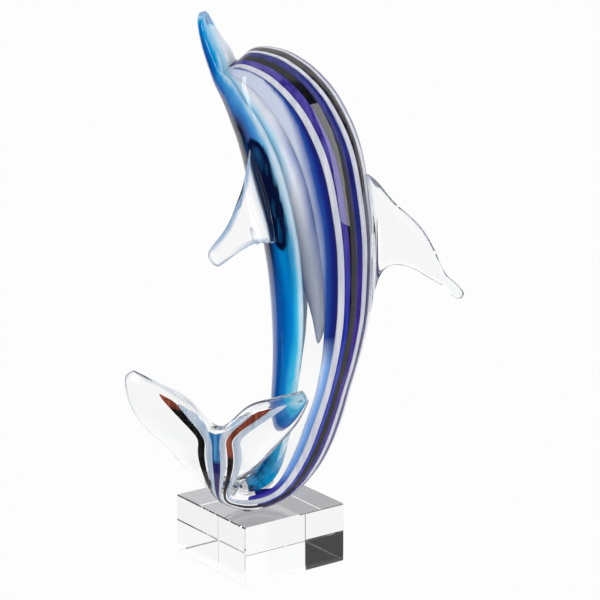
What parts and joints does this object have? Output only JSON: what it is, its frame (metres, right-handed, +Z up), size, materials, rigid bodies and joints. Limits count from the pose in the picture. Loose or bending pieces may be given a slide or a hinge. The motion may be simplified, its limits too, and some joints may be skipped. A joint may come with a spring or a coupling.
{
  "type": "glass dolphin figurine",
  "caption": "Leaping dolphin of clear cased art glass with blue, white and black canes, standing on its curled tail on a square crystal block.",
  "frame": {"origin": "centre of the crystal block's underside", "axes": "+Z up along the height of the figurine, X and Y along the block's edges; the dolphin's back faces +X and -Y and its raised flukes face -X and -Y"},
  "size_m": [0.1451, 0.1269, 0.318],
  "materials": {
    "crystal": "polished",
    "clear_glass": "polished",
    "adhesive": "gloss",
    "opaline_white": "gloss",
    "aqua_blue": "gloss",
    "white_cane": "gloss",
    "black_cane": "gloss",
    "navy_cane": "gloss",
    "cobalt_cane": "gloss",
    "violet_cane": "gloss",
    "blue_veil": "gloss"
  },
  "bodies": {
    "root": {"base_block": "crystal", "bond_film": "adhesive", "body_casing": "clear_glass", "tail_flukes": "clear_glass", "clear_gather": "clear_glass", "opaline_core": "opaline_white", "belly_streak": "aqua_blue", "midline_cane": "violet_cane", "thin_white_cane_left": "white_cane", "navy_cane_left": "navy_cane", "black_cane_left": "black_cane", "cobalt_cane_left": "cobalt_cane", "wide_white_cane_left": "white_cane", "blue_veil_left": "blue_veil", "pectoral_fin_left": "clear_glass", "thin_white_cane_right": "white_cane", "navy_cane_right": "navy_cane", "black_cane_right": "black_cane", "cobalt_cane_right": "cobalt_cane", "wide_white_cane_right": "white_cane", "blue_veil_right": "blue_veil", "pectoral_fin_right": "clear_glass", "dorsal_fin": "clear_glass"}
  },
  "joints": []
}
